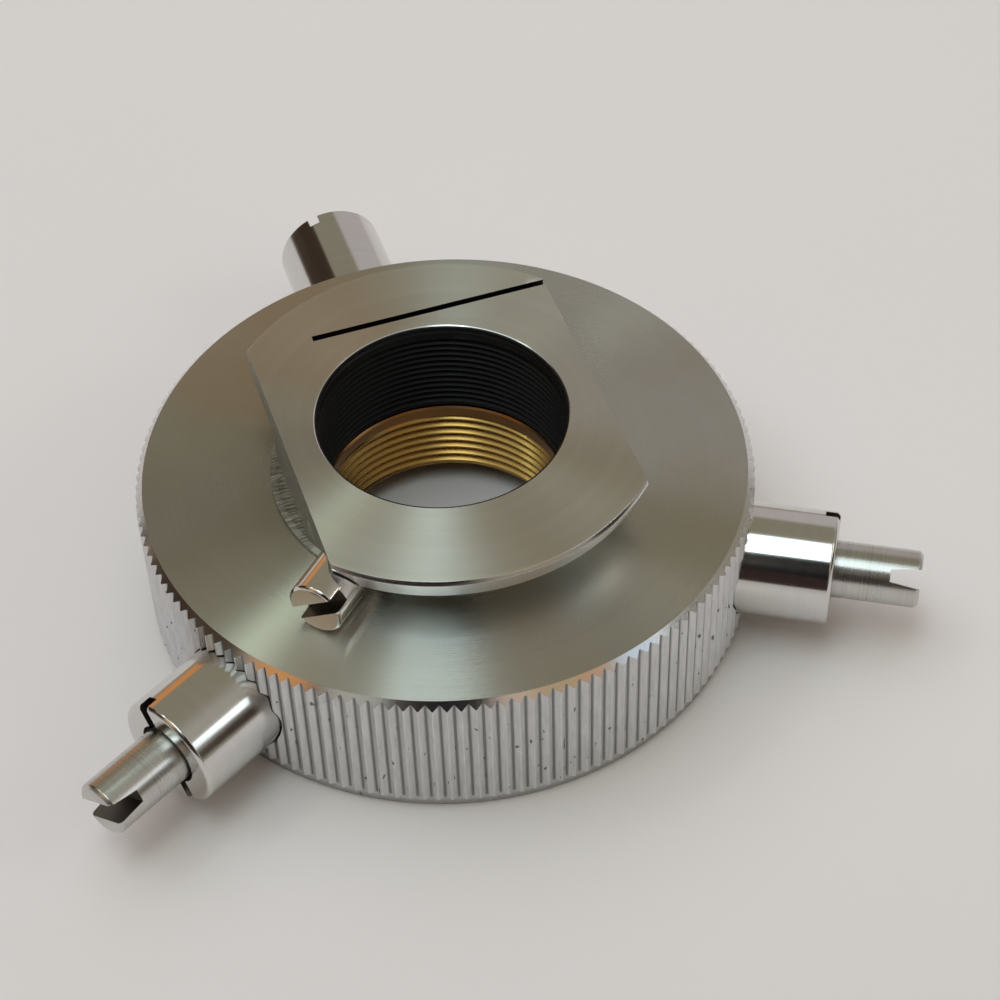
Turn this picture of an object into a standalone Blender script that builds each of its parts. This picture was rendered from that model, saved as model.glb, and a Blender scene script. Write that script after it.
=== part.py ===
"""Centring mount: a knurled disc that carries a floating threaded ring under a dovetail flange.

Two slotted screws and a sprung plunger, 120 degrees apart, push the ring sideways, so that
whatever is screwed into it can be centred on the axis of the flange above.
Run it with: blender --background --python part.py, or from Blender's text editor.
Lengths are in metres and +Z is up. The part stands on z = 0, and its origin is the middle of the
bottom of its bounding box, so the bore's own axis lies at y = BORE_Y.
"""
import math

import bmesh
import bpy

MM = 0.001
FIT = 0.3 * MM                     # clearance round pieces that fit in one another
SEAT = 0.12 * MM                   # clearance between faces that are bolted together

# Housing: the knurled disc.
DISC_R = 25.6 * MM                 # over the tips of the knurl
TEETH = 144
TOOTH_DEPTH = 0.36 * MM
TEETH_LOW = 1.1 * MM               # the teeth run out below this, above a smooth lip
LIP_TOP = 0.7 * MM
DISC_H = 13.0 * MM
DISC_EDGE = 0.6 * MM               # 45 degree chamfer round the top face
CAVITY_R = 19.3 * MM
HOLE_IN = 17.3 * MM                # the holes for the barrels are cut from here outwards
CEILING_Z = 10.0 * MM
TOP_HOLE_R = 11.4 * MM

# Base ring that closes the housing from below.
BASE_R = 23.0 * MM
BASE_T = 1.9 * MM
BASE_BORE_R = 13.2 * MM
BASE_SCREW_AT = 20.9 * MM          # distance of the base screws from the bore's axis

# Dovetail flange on the disc.
FLANGE_TOP = 18.75 * MM
FLANGE_R = 18.23 * MM              # widest, at the top of the conical edge
FLANGE_LOW_R = 17.4 * MM           # at the bottom of the conical edge
FLANGE_LOW_Z = 16.4 * MM
FLANGE_EDGE = 0.2 * MM
FLAT_X = 13.0 * MM                 # half the distance across the two flats
NECK_R = 13.9 * MM
FOOT_R = 14.4 * MM
LEDGE_Z = 13.4 * MM
FLAT_LOW = 13.42 * MM              # the flats are milled down to just above the ledge
BORE_LIP_T = 0.4 * MM              # thin lip at the top of the bore, over the sleeve
BORE_LIP_R = 10.2 * MM
BORE_EDGE = 0.15 * MM
SLIT_Y = 12.0 * MM
SLIT_W = 0.52 * MM
SLIT_X = -7.5 * MM                 # blind end of the slit; the other end is open
SLIT_FLOOR = 15.6 * MM
FLANGE_SCREW_AT = 12.75 * MM       # distance of the flange screws from the bore's axis

# The bore, through the black sleeve and the brass ring.
BORE_R = 10.18 * MM
SLEEVE_R = TOP_HOLE_R - FIT
SLEEVE_LOW = 9.5 * MM
RING_TOP = SLEEVE_LOW - FIT
RING_LOW = 3.3 * MM
RING_R = 16.2 * MM
RING_FLAT = 15.6 * MM              # faces that the pads and the plunger press on
HUB_R = 11.2 * MM
HUB_LOW = 2.1 * MM

# Slide washer: it keeps the ring from turning, with crossed pairs of keys.
WASHER_LOW = BASE_T + FIT
WASHER_TOP = RING_LOW - FIT
WASHER_R = 17.8 * MM
WASHER_BORE_R = 12.5 * MM
KEY_W = 3.0 * MM
KEY_H = 0.6 * MM
KEY_IN = 13.6 * MM
LOWER_KEY_OUT = 16.2 * MM
UPPER_KEY_OUT = 15.0 * MM
KEY_DEPTH = KEY_H + FIT            # how deep the slots are that the keys run in
LOWER_SLOT_OUT = 18.3 * MM
UPPER_SLOT_IN = 12.3 * MM
LOWER_KEY_ANGLES = (60.0, 240.0)
UPPER_KEY_ANGLES = (120.0, 300.0)

# Barrels, screws and plunger, which lie on radial axes.
AXIS_Z = 6.25 * MM
LEFT, RIGHT, REAR = 210.0, -30.0, 90.0
BARREL_R = 4.7 * MM
BARREL_SEAT = 24.3 * MM            # shoulder, from the bore's axis
BARREL_END = 32.7 * MM
REAR_BARREL_END = 36.2 * MM
BARREL_BORE_R = 2.7 * MM
SHANK_R = 3.3 * MM
SHANK_IN = 19.8 * MM
SPANNER_SLOT_W = 1.0 * MM
SPANNER_SLOT_D = 1.2 * MM
SCREW_R = 2.375 * MM
SCREW_TIP = 39.8 * MM
SCREW_SLOT_W = 1.4 * MM
SCREW_SLOT_D = 2.5 * MM
PAD_R = 2.2 * MM
PAD_IN = RING_FLAT + FIT
PAD_OUT = 18.3 * MM
PIN_R = 2.2 * MM
PIN_OUT = 24.0 * MM
SPRING_R = 2.0 * MM                # over the coils
WIRE_R = 0.25 * MM
SPRING_IN = 25.1 * MM
SPRING_OUT = 32.2 * MM
SPRING_TURNS = 6
REAR_BORE_END = 33.3 * MM

# Lock screw for the sleeve, through the neck of the flange.
LOCK = 223.0
LOCK_Z = 15.6 * MM
LOCK_R = 2.35 * MM
LOCK_GAP = 0.2 * MM
LOCK_SHANK_R = 1.3 * MM
LOCK_SHANK_IN = 12.7 * MM
LOCK_POCKET = 14.5 * MM            # bottom of the wide part of the hole
LOCK_SHOULDER = 14.7 * MM
LOCK_END = 20.4 * MM
LOCK_SLOT_W = 1.0 * MM
LOCK_SLOT_D = 1.3 * MM
SLUG_R = 1.2 * MM
SLUG_IN = 11.45 * MM
SLUG_OUT = 12.4 * MM

# Small screws: three in the base ring, three up into the flange.
BASE_SHANK_R = 0.8 * MM
BASE_HOLE_R = BASE_SHANK_R + FIT
BASE_HEAD_R = 1.5 * MM
BASE_HEAD_LOW = 0.1 * MM
BASE_HEAD_EDGE = 0.25 * MM         # the countersunk cone starts here
BASE_HEAD_TOP = 0.95 * MM
BASE_SLOT_TOP = 0.45 * MM
BASE_SCREW_TOP = 6.5 * MM
BASE_HOLE_TOP = 7.0 * MM
FLANGE_SHANK_R = 0.6 * MM
FLANGE_HOLE_R = 0.85 * MM
FLANGE_HEAD_R = 1.0 * MM
FLANGE_HEAD_HOLE_R = 1.25 * MM
FLANGE_HEAD_LOW = 10.1 * MM
FLANGE_HEAD_TOP = 11.0 * MM
FLANGE_HEAD_HOLE_TOP = 11.3 * MM
FLANGE_SLOT_TOP = 10.5 * MM
FLANGE_SCREW_TOP = 15.0 * MM
FLANGE_HOLE_TOP = 15.3 * MM
SMALL_SLOT_W = 0.4 * MM
FASTENER_ANGLES = (30.0, 150.0, 270.0)

# How far each slot is turned from level, anticlockwise as seen from outside; the screws are
# wherever the last adjustment left them.
SLOT_TURN = {"left_screw": 30.0, "right_screw": -48.0, "lock_screw": 42.0,
             "left_barrel": -63.0, "right_barrel": 62.0, "plunger_barrel": 72.0}

EPS = 0.5 * MM                     # how far cutters reach past what they cut
BORE_Y = -(REAR_BARREL_END - DISC_R) / 2

COLOURS = {                        # name: (colour, metallic, roughness)
    "chrome": ((0.72, 0.72, 0.72), 1.0, 0.18),
    "turned_steel": ((0.50, 0.49, 0.44), 1.0, 0.34),
    "screw_steel": ((0.60, 0.60, 0.59), 1.0, 0.30),
    "black_oxide": ((0.015, 0.015, 0.016), 0.4, 0.45),
    "brass": ((0.62, 0.43, 0.13), 1.0, 0.28),
    "spring_steel": ((0.40, 0.40, 0.40), 1.0, 0.35),
}


def clear_scene():
    for thing in list(bpy.data.objects):
        bpy.data.objects.remove(thing, do_unlink=True)


def material(name):
    mat = bpy.data.materials.get(name) or bpy.data.materials.new(name)
    colour, metallic, roughness = COLOURS[name]
    mat.use_nodes = True
    shader = mat.node_tree.nodes["Principled BSDF"]
    shader.inputs["Base Color"].default_value = (*colour, 1.0)
    shader.inputs["Metallic"].default_value = metallic
    shader.inputs["Roughness"].default_value = roughness
    return mat


def finish_object(bm, name, mat, parent):
    """Turn a bmesh into a smooth-shaded object with outward faces."""
    bmesh.ops.recalc_face_normals(bm, faces=bm.faces)
    mesh = bpy.data.meshes.new(name)
    bm.to_mesh(mesh)
    bm.free()
    mesh.shade_smooth()
    mesh.set_sharp_from_angle(angle=math.radians(30))
    thing = bpy.data.objects.new(name, mesh)
    bpy.context.scene.collection.objects.link(thing)
    if mat:
        mesh.materials.append(material(mat))
    thing.parent = parent
    return thing


def turned(name, profile, segments, mat=None, parent=None):
    """Spin a closed outline of (radius, height) points round Z."""
    bm = bmesh.new()
    points = [bm.verts.new((r, 0, z)) for r, z in profile]
    edges = [bm.edges.new((a, b)) for a, b in zip(points, points[1:] + points[:1])
             if not (a.co.x == 0 and b.co.x == 0)]
    bmesh.ops.spin(bm, geom=points + edges, cent=(0, 0, 0), axis=(0, 0, 1),
                   angle=math.tau, steps=segments, use_duplicate=False)
    bmesh.ops.remove_doubles(bm, verts=bm.verts, dist=1e-7)
    return finish_object(bm, name, mat, parent)


def block(name, low, high, mat=None, parent=None):
    """Make a box between two corners."""
    bm = bmesh.new()
    bmesh.ops.create_cube(bm, size=1.0)
    for v in bm.verts:
        v.co = [low[i] + (v.co[i] + 0.5) * (high[i] - low[i]) for i in range(3)]
    return finish_object(bm, name, mat, parent)


def lay_radially(thing, angle, height, twist=0.0):
    """Point the piece's own Z outwards from the bore's axis, at an angle from +X."""
    thing.location = (0, 0, height)
    thing.rotation_euler = (0, math.radians(90), math.radians(angle))
    thing.rotation_euler.rotate_axis("Z", math.radians(twist))
    return thing


def cut_end_slot(piece, width, depth, end, radius, angle, height, parent):
    """Saw a slot across the outer end of a radial piece."""
    half_w, half_l = width / 2, radius + EPS
    saw = block(f"cut_{piece.name}_slot", (-half_w, -half_l, end - depth),
                (half_w, half_l, end + EPS), parent=parent)
    boolean(piece, lay_radially(saw, angle, height, SLOT_TURN[piece.name]))


def polar(distance, angle):
    return distance * math.cos(math.radians(angle)), distance * math.sin(math.radians(angle))


def boolean(target, tool, operation="DIFFERENCE"):
    """Cut or join with a hidden tool object."""
    mod = target.modifiers.new(tool.name, "BOOLEAN")
    mod.operation = operation
    mod.solver = "EXACT"
    mod.object = tool
    tool.hide_render = True
    tool.display_type = "WIRE"


def weld(target):
    """Merge the points that the cuts leave a hair apart."""
    mod = target.modifiers.new("weld", "WELD")
    mod.merge_threshold = 0.002 * MM


def cylinder(name, radius, low, high, segments=32, parent=None, mat=None):
    outline = [(0, low), (radius, low), (radius, high), (0, high)]
    return turned(name, outline, segments, mat, parent)


def bore_at(target, name, radius, low, high, distance, angle, parent, segments=20):
    """Cut a vertical hole."""
    tool = cylinder(name, radius, low, high, segments, parent)
    tool.location = (*polar(distance, angle), 0)
    boolean(target, tool)


def key_block(name, angle, low, high, inner, outer, width, parent):
    """Make a radial bar, as a key or as the cutter for its slot."""
    bar = block(name, (inner, -width / 2, low), (outer, width / 2, high), parent=parent)
    bar.rotation_euler = (0, 0, math.radians(angle))
    return bar


def knurled_disc(parent):
    """Build the solid disc, with straight V teeth round it, as stacked rings of points."""
    smooth_r = DISC_R - TOOTH_DEPTH
    bm = bmesh.new()

    def ring(tip_r, tip_z, root_r, root_z):
        points = []
        for i in range(2 * TEETH):
            angle = math.pi * i / TEETH
            r, z = (root_r, root_z) if i % 2 else (tip_r, tip_z)
            points.append(bm.verts.new((r * math.cos(angle), r * math.sin(angle), z)))
        return points

    edge_r = DISC_R - DISC_EDGE
    root_top = DISC_H - DISC_EDGE + TOOTH_DEPTH
    rings = [
        ring(smooth_r, 0, smooth_r, 0),
        ring(smooth_r, LIP_TOP, smooth_r, LIP_TOP),
        ring(DISC_R, TEETH_LOW, smooth_r, TEETH_LOW),
        ring(DISC_R, DISC_H - DISC_EDGE, smooth_r, root_top),
        ring(edge_r, DISC_H, edge_r, DISC_H),
    ]
    count = 2 * TEETH
    for low, high in zip(rings, rings[1:]):
        for i in range(count):
            j = (i + 1) % count
            bm.faces.new((low[i], low[j], high[j], high[i]))
    # The ends of the teeth are twisted quads, which a Boolean needs as triangles.
    bmesh.ops.triangulate(bm, faces=bm.faces)
    bm.faces.new(rings[0][::-1])
    bm.faces.new(rings[-1])
    return finish_object(bm, "housing", "turned_steel", parent)


def make_housing(root):
    disc = knurled_disc(root)
    recess_r, recess_z = BASE_R + FIT, BASE_T + SEAT
    cavity = turned("cut_cavity", [
        (0, -EPS), (recess_r, -EPS), (recess_r, recess_z), (CAVITY_R, recess_z),
        (CAVITY_R, CEILING_Z), (TOP_HOLE_R, CEILING_Z), (TOP_HOLE_R, DISC_H + EPS), (0, DISC_H + EPS),
    ], 72, parent=root)
    boolean(disc, cavity)
    floor = BARREL_SEAT - SEAT
    for label, angle in (("left", LEFT), ("right", RIGHT), ("rear", REAR)):
        hole = turned(f"cut_{label}_hole", [
            (0, HOLE_IN), (SHANK_R + FIT, HOLE_IN), (SHANK_R + FIT, floor), (BARREL_R + FIT, floor),
            (BARREL_R + FIT, DISC_R + EPS), (0, DISC_R + EPS),
        ], 32, parent=root)
        boolean(disc, lay_radially(hole, angle, AXIS_Z))
    for i, angle in enumerate(FASTENER_ANGLES, 1):
        bore_at(disc, f"cut_base_thread_{i}", BASE_HOLE_R, EPS, BASE_HOLE_TOP, BASE_SCREW_AT, angle,
                root)
        hole = turned(f"cut_flange_hole_{i}", [
            (0, CEILING_Z - EPS), (FLANGE_HEAD_HOLE_R, CEILING_Z - EPS),
            (FLANGE_HEAD_HOLE_R, FLANGE_HEAD_HOLE_TOP), (FLANGE_HOLE_R, FLANGE_HEAD_HOLE_TOP),
            (FLANGE_HOLE_R, DISC_H + EPS), (0, DISC_H + EPS),
        ], 20, parent=root)
        hole.location = (*polar(FLANGE_SCREW_AT, angle), 0)
        boolean(disc, hole)
    weld(disc)


def make_flange(root):
    low = DISC_H + SEAT
    lip_low = FLANGE_TOP - BORE_LIP_T
    flange = turned("dovetail_flange", [
        (TOP_HOLE_R, low), (FOOT_R, low), (FOOT_R, LEDGE_Z), (NECK_R, LEDGE_Z),
        (NECK_R, FLANGE_LOW_Z), (FLANGE_LOW_R, FLANGE_LOW_Z),
        (FLANGE_R, FLANGE_TOP - FLANGE_EDGE), (FLANGE_R - FLANGE_EDGE, FLANGE_TOP),
        (BORE_LIP_R + BORE_EDGE, FLANGE_TOP), (BORE_LIP_R, FLANGE_TOP - BORE_EDGE),
        (BORE_LIP_R, lip_low), (TOP_HOLE_R, lip_low),
    ], 90, "turned_steel", root)
    reach = FLANGE_R + EPS
    for label, side in (("left", -1), ("right", 1)):
        x = sorted((side * FLAT_X, side * reach))
        flat = block(f"cut_{label}_flat", (x[0], -reach, FLAT_LOW), (x[1], reach, FLANGE_TOP + EPS),
                     parent=root)
        boolean(flange, flat)
    slit = block("cut_slit", (SLIT_X, SLIT_Y - SLIT_W / 2, SLIT_FLOOR),
                 (reach, SLIT_Y + SLIT_W / 2, FLANGE_TOP + EPS), parent=root)
    boolean(flange, slit)
    hole = turned("cut_lock_hole", [
        (0, TOP_HOLE_R - EPS), (LOCK_SHANK_R + FIT, TOP_HOLE_R - EPS),
        (LOCK_SHANK_R + FIT, LOCK_POCKET), (LOCK_R + LOCK_GAP, LOCK_POCKET),
        (LOCK_R + LOCK_GAP, LOCK_END + EPS), (0, LOCK_END + EPS),
    ], 32, parent=root)
    boolean(flange, lay_radially(hole, LOCK, LOCK_Z))
    for i, angle in enumerate(FASTENER_ANGLES, 1):
        bore_at(flange, f"cut_flange_thread_{i}", FLANGE_HOLE_R, DISC_H - EPS,
                FLANGE_HOLE_TOP, FLANGE_SCREW_AT, angle, root)


def make_sleeve(root):
    top = FLANGE_TOP - BORE_LIP_T - SEAT
    turned("threaded_sleeve", [
        (BORE_R, SLEEVE_LOW), (SLEEVE_R, SLEEVE_LOW), (SLEEVE_R, top), (BORE_R, top),
    ], 60, "black_oxide", root)


def make_base_ring(root):
    ring = turned("base_ring", [
        (BASE_BORE_R, 0), (BASE_R - FIT, 0), (BASE_R, FIT), (BASE_R, BASE_T), (BASE_BORE_R, BASE_T),
    ], 60, "turned_steel", root)
    for angle in LOWER_KEY_ANGLES:
        slot = key_block(f"cut_base_slot_{angle:.0f}", angle, BASE_T - KEY_DEPTH, BASE_T + EPS,
                         BASE_BORE_R - EPS, LOWER_SLOT_OUT, KEY_W + 2 * FIT, root)
        boolean(ring, slot)
    for i, angle in enumerate(FASTENER_ANGLES, 1):
        wide = BASE_HEAD_R + FIT
        sink = turned(f"cut_countersink_{i}", [
            (0, -EPS), (wide, -EPS), (wide, BASE_HEAD_EDGE), (BASE_HOLE_R, BASE_HEAD_TOP),
            (BASE_HOLE_R, BASE_T + EPS), (0, BASE_T + EPS),
        ], 20, parent=root)
        sink.location = (*polar(BASE_SCREW_AT, angle), 0)
        boolean(ring, sink)


def small_slot(target, name, z_low, z_high, root):
    """Cut a screwdriver slot across the head of a small vertical screw."""
    half_w, half_l = SMALL_SLOT_W / 2, BASE_HEAD_R + EPS
    slot = block(name, (-half_l, -half_w, z_low), (half_l, half_w, z_high), parent=root)
    slot.location = target.location
    boolean(target, slot)


def make_base_screws(root):
    for i, angle in enumerate(FASTENER_ANGLES, 1):
        screw = turned(f"base_screw_{i}", [
            (0, BASE_HEAD_LOW), (BASE_HEAD_R, BASE_HEAD_LOW), (BASE_HEAD_R, BASE_HEAD_EDGE),
            (BASE_SHANK_R, BASE_HEAD_TOP), (BASE_SHANK_R, BASE_SCREW_TOP), (0, BASE_SCREW_TOP),
        ], 20, "screw_steel", root)
        screw.location = (*polar(BASE_SCREW_AT, angle), 0)
        small_slot(screw, f"cut_base_slot_of_screw_{i}", -EPS, BASE_SLOT_TOP, root)


def make_flange_screws(root):
    for i, angle in enumerate(FASTENER_ANGLES, 1):
        screw = turned(f"flange_screw_{i}", [
            (0, FLANGE_HEAD_LOW), (FLANGE_HEAD_R, FLANGE_HEAD_LOW),
            (FLANGE_HEAD_R, FLANGE_HEAD_TOP), (FLANGE_SHANK_R, FLANGE_HEAD_TOP),
            (FLANGE_SHANK_R, FLANGE_SCREW_TOP), (0, FLANGE_SCREW_TOP),
        ], 20, "screw_steel", root)
        screw.location = (*polar(FLANGE_SCREW_AT, angle), 0)
        small_slot(screw, f"cut_flange_slot_of_screw_{i}", CEILING_Z - EPS, FLANGE_SLOT_TOP, root)


def make_washer(root):
    washer = turned("slide_washer", [
        (WASHER_BORE_R, WASHER_LOW), (WASHER_R, WASHER_LOW), (WASHER_R, WASHER_TOP),
        (WASHER_BORE_R, WASHER_TOP),
    ], 60, "screw_steel", root)
    middle = (WASHER_LOW + WASHER_TOP) / 2
    for angle in LOWER_KEY_ANGLES:
        key = key_block(f"add_lower_key_{angle:.0f}", angle, WASHER_LOW - KEY_H, middle,
                        KEY_IN, LOWER_KEY_OUT, KEY_W, root)
        boolean(washer, key, "UNION")
    for angle in UPPER_KEY_ANGLES:
        key = key_block(f"add_upper_key_{angle:.0f}", angle, middle, WASHER_TOP + KEY_H,
                        KEY_IN, UPPER_KEY_OUT, KEY_W, root)
        boolean(washer, key, "UNION")


def make_ring(root):
    ring = turned("centring_ring", [
        (BORE_R, HUB_LOW), (HUB_R, HUB_LOW), (HUB_R, RING_LOW), (RING_R, RING_LOW),
        (RING_R, RING_TOP), (BORE_R, RING_TOP),
    ], 60, "brass", root)
    for label, angle in (("left", LEFT), ("right", RIGHT), ("rear", REAR)):
        face = block(f"cut_{label}_ring_face", (RING_FLAT, -RING_R / 2, 0),
                     (RING_R + EPS, RING_R / 2, DISC_H), parent=root)
        face.rotation_euler = (0, 0, math.radians(angle))
        boolean(ring, face)
    for angle in UPPER_KEY_ANGLES:
        slot = key_block(f"cut_ring_slot_{angle:.0f}", angle, RING_LOW - EPS, RING_LOW + KEY_DEPTH,
                         UPPER_SLOT_IN, RING_R + EPS, KEY_W + 2 * FIT, root)
        boolean(ring, slot)


def make_barrel(label, angle, end, bore_end, root):
    """Make a sleeve with a shoulder; its end has a slot across it for a spanner."""
    bevel = 0.25 * MM
    outline = [(SHANK_R, SHANK_IN), (SHANK_R, BARREL_SEAT), (BARREL_R, BARREL_SEAT),
               (BARREL_R, end - bevel), (BARREL_R - bevel, end)]
    if bore_end < end:
        outline += [(0, end), (0, bore_end), (BARREL_BORE_R, bore_end), (BARREL_BORE_R, SHANK_IN)]
    else:
        outline += [(BARREL_BORE_R, end), (BARREL_BORE_R, SHANK_IN)]
    barrel = lay_radially(turned(f"{label}_barrel", outline, 36, "chrome", root), angle, AXIS_Z)
    cut_end_slot(barrel, SPANNER_SLOT_W, SPANNER_SLOT_D, end, BARREL_R, angle, AXIS_Z, root)


def make_adjuster(label, angle, root):
    """Make a slotted adjusting screw and the pad that it pushes the ring with."""
    bevel = 0.3 * MM
    low = PAD_OUT + FIT
    screw = lay_radially(turned(f"{label}_screw", [
        (0, low), (SCREW_R - bevel, low), (SCREW_R, low + bevel), (SCREW_R, SCREW_TIP - bevel),
        (SCREW_R - bevel, SCREW_TIP), (0, SCREW_TIP),
    ], 30, "screw_steel", root), angle, AXIS_Z)
    cut_end_slot(screw, SCREW_SLOT_W, SCREW_SLOT_D, SCREW_TIP, SCREW_R, angle, AXIS_Z, root)
    lay_radially(cylinder(f"{label}_pad", PAD_R, PAD_IN, PAD_OUT, 24, root, "brass"), angle, AXIS_Z)


def make_plunger(root):
    tip = 0.5 * MM
    lay_radially(turned("plunger_pin", [
        (0, PAD_IN), (PIN_R - tip, PAD_IN), (PIN_R, PAD_IN + tip), (PIN_R, PIN_OUT), (0, PIN_OUT),
    ], 24, "screw_steel", root), REAR, AXIS_Z)

    mid_r = SPRING_R - WIRE_R
    steps_per_turn = 10
    steps = SPRING_TURNS * steps_per_turn
    wire_sides = 5
    bm = bmesh.new()
    rings = []
    for i in range(steps + 1):
        angle = math.tau * i / steps_per_turn
        run = SPRING_IN + WIRE_R + (SPRING_OUT - SPRING_IN - 2 * WIRE_R) * i / steps
        loop = []
        for k in range(wire_sides):
            turn = math.tau * k / wire_sides
            r = mid_r + WIRE_R * math.cos(turn)
            point = (r * math.cos(angle), r * math.sin(angle), run + WIRE_R * math.sin(turn))
            loop.append(bm.verts.new(point))
        rings.append(loop)
    for a, b in zip(rings, rings[1:]):
        for k in range(wire_sides):
            m = (k + 1) % wire_sides
            bm.faces.new((a[k], a[m], b[m], b[k]))
    bm.faces.new(rings[0])
    bm.faces.new(rings[-1])
    lay_radially(finish_object(bm, "plunger_spring", "spring_steel", root), REAR, AXIS_Z)


def make_lock(root):
    bevel = 0.2 * MM
    screw = lay_radially(turned("lock_screw", [
        (0, LOCK_SHANK_IN), (LOCK_SHANK_R, LOCK_SHANK_IN), (LOCK_SHANK_R, LOCK_SHOULDER),
        (LOCK_R, LOCK_SHOULDER), (LOCK_R, LOCK_END - bevel), (LOCK_R - bevel, LOCK_END), (0, LOCK_END),
    ], 30, "chrome", root), LOCK, LOCK_Z)
    cut_end_slot(screw, LOCK_SLOT_W, LOCK_SLOT_D, LOCK_END, LOCK_R, LOCK, LOCK_Z, root)
    slug = cylinder("lock_slug", SLUG_R, SLUG_IN, SLUG_OUT, 20, root, "brass")
    lay_radially(slug, LOCK, LOCK_Z)


def main():
    clear_scene()
    root = bpy.data.objects.new("bore_axis", None)
    root.location = (0, BORE_Y, 0)
    bpy.context.scene.collection.objects.link(root)
    make_housing(root)
    make_flange(root)
    make_sleeve(root)
    make_base_ring(root)
    make_base_screws(root)
    make_flange_screws(root)
    make_washer(root)
    make_ring(root)
    make_barrel("left", LEFT, BARREL_END, BARREL_END, root)
    make_barrel("right", RIGHT, BARREL_END, BARREL_END, root)
    make_barrel("plunger", REAR, REAR_BARREL_END, REAR_BORE_END, root)
    make_adjuster("left", LEFT, root)
    make_adjuster("right", RIGHT, root)
    make_plunger(root)
    make_lock(root)


main()
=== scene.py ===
"""Looks for the centring mount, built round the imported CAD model.

The pieces that show are made again here with finer meshes: the knurl, the two threads, the slots
and the rounded edges. The pieces inside keep their CAD meshes and only get materials.
Lengths in the outlines are in millimetres. A turned piece is made round its own Z axis.
"""
import math

import bmesh
import bpy
from mathutils import Matrix, Vector


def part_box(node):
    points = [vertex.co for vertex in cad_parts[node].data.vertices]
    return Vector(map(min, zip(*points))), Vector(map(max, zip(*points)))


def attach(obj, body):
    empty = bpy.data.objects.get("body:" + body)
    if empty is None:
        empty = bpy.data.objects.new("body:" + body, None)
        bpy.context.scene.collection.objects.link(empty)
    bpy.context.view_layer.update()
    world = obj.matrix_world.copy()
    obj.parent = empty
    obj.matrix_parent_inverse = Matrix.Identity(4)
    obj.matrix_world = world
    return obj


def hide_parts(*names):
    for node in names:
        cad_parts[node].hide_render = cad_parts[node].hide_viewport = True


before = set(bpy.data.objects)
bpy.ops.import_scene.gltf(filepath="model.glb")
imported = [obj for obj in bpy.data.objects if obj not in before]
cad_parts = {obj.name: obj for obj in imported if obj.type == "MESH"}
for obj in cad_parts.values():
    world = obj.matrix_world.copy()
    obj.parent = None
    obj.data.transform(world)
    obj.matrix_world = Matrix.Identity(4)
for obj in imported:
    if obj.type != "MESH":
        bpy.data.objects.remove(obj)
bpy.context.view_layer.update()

MM = 0.001


def bore_axis_y():
    """The bore's axis is the middle of the round base ring."""
    low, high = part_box("base_ring")
    return (low.y + high.y) / 2


AXIS_Y = bore_axis_y()

# Sizes that the CAD model has too, in millimetres; a radius is measured from the piece's axis.
TOOTH_TIP_R, TOOTH_ROOT_R, TEETH = 25.6, 25.24, 144
TOP_EDGE_R = 25.0
DISC_TOP, DISC_LIP, TEETH_LOW = 13.0, 0.7, 1.1
RECESS_R, RECESS_Z = 23.3, 2.02
CAVITY_R, CEILING_Z, TOP_HOLE_R = 19.3, 10.0, 11.4
AXIS_Z = 6.25                      # the height of the barrels' axes
LEFT, RIGHT, REAR = 210.0, -30.0, 90.0
BARREL_R, BARREL_SEAT, BARREL_END, REAR_END = 4.7, 24.3, 32.7, 36.2
SHANK_R, SHANK_IN, BARREL_BORE_R = 3.3, 19.8, 2.7
SCREW_R, SCREW_IN, SCREW_TIP = 2.375, 18.6, 39.8
FOOT_R, FOOT_LOW, FOOT_TOP = 14.4, 13.12, 13.4
NECK_R, NECK_TOP = 13.9, 16.4
FLANGE_TOP, FLAT_X = 18.75, 13.0
MOUTH_R, MOUTH_LOW = 10.2, 18.35
SLIT_Y, SLIT_END_X, SLIT_FLOOR = 12.0, -7.5, 15.6
LOCK, LOCK_Z, LOCK_R = 223.0, 15.6, 2.35
LOCK_TIP, LOCK_SHOULDER, LOCK_PIN_R, LOCK_PIN_IN = 20.4, 14.7, 1.3, 12.7
BORE_R = 10.18
SLEEVE_LOW, SLEEVE_TOP, SLEEVE_R = 9.5, 18.23, 11.1
RING_LOW, RING_TOP, RING_R = 2.1, 9.2, 16.2
SPIGOT_R, SPIGOT_TOP = 11.2, 3.3
KEYWAY_ANGLES = (120.0, 300.0)
FASTENER_ANGLES = (30.0, 150.0, 270.0)
BASE_SCREW_CIRCLE, FLANGE_SCREW_CIRCLE = 20.9, 12.75

# Sizes that only show here.
BRASS_THREAD_TOP = 8.15
SLIT_HALF = 0.3
SLOT_TURN = {"left_screw": 30.0, "right_screw": -48.0, "lock_screw": 36.0,
             "left_barrel": -63.0, "right_barrel": 62.0, "plunger_barrel": 72.0}
HAIR = 0.12                        # gap that shows as a thin dark line round a barrel
REACH = 0.5                        # how far cutters go past what they cut
SMALL_HOLE, HOLE, TURNED_PART, PLATE = 24, 64, 96, 240    # sides of round shapes


# ---------------------------------------------------------------- meshes

def new_object(name, bm):
    bmesh.ops.recalc_face_normals(bm, faces=bm.faces)
    mesh = bpy.data.meshes.new(name)
    bm.to_mesh(mesh)
    bm.free()
    thing = bpy.data.objects.new(name, mesh)
    bpy.context.scene.collection.objects.link(thing)
    return thing


def on_circle(radius, angle, height):
    """A point in metres from a radius and height in millimetres and an angle in radians."""
    return (radius * math.cos(angle) * MM, radius * math.sin(angle) * MM, height * MM)


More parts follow.
